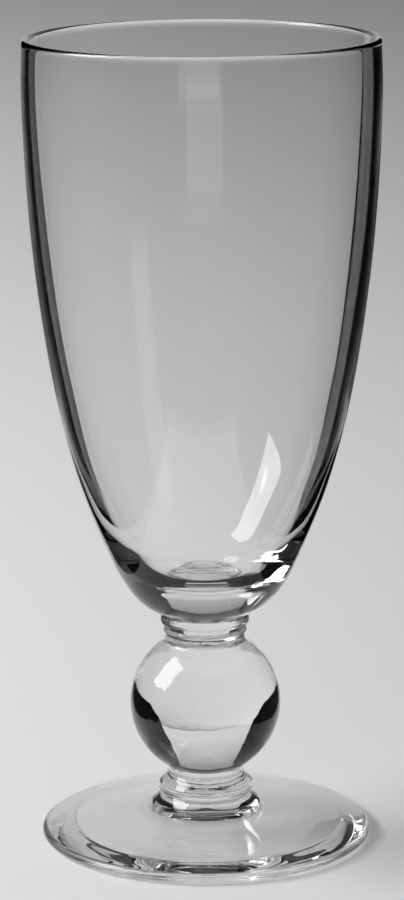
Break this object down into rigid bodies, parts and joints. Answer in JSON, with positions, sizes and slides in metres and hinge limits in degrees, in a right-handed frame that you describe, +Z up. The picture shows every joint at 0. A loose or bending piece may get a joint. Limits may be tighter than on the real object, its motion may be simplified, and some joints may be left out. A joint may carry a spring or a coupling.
{
  "type": "iced tea glass",
  "caption": "Tall footed iced tea glass of clear glass: a deep tapering bowl over a ball knop, with small ringed collars and a thin round foot.",
  "frame": {"origin": "centre of the foot at the level of its resting ring", "axes": "+Z up along the glass's axis, from the foot to the lip; X and Y are any two level directions, because the glass is round"},
  "size_m": [0.0776, 0.0776, 0.178],
  "materials": {
    "clear_glass": "clear fire-polished glass, colourless, smooth"
  },
  "bodies": {
    "root": {"foot": "clear_glass", "foot_button": "clear_glass", "flared_collar": "clear_glass", "ball_knop": "clear_glass", "neck_band": "clear_glass", "neck_bead": "clear_glass", "bowl": "clear_glass"}
  },
  "joints": []
}
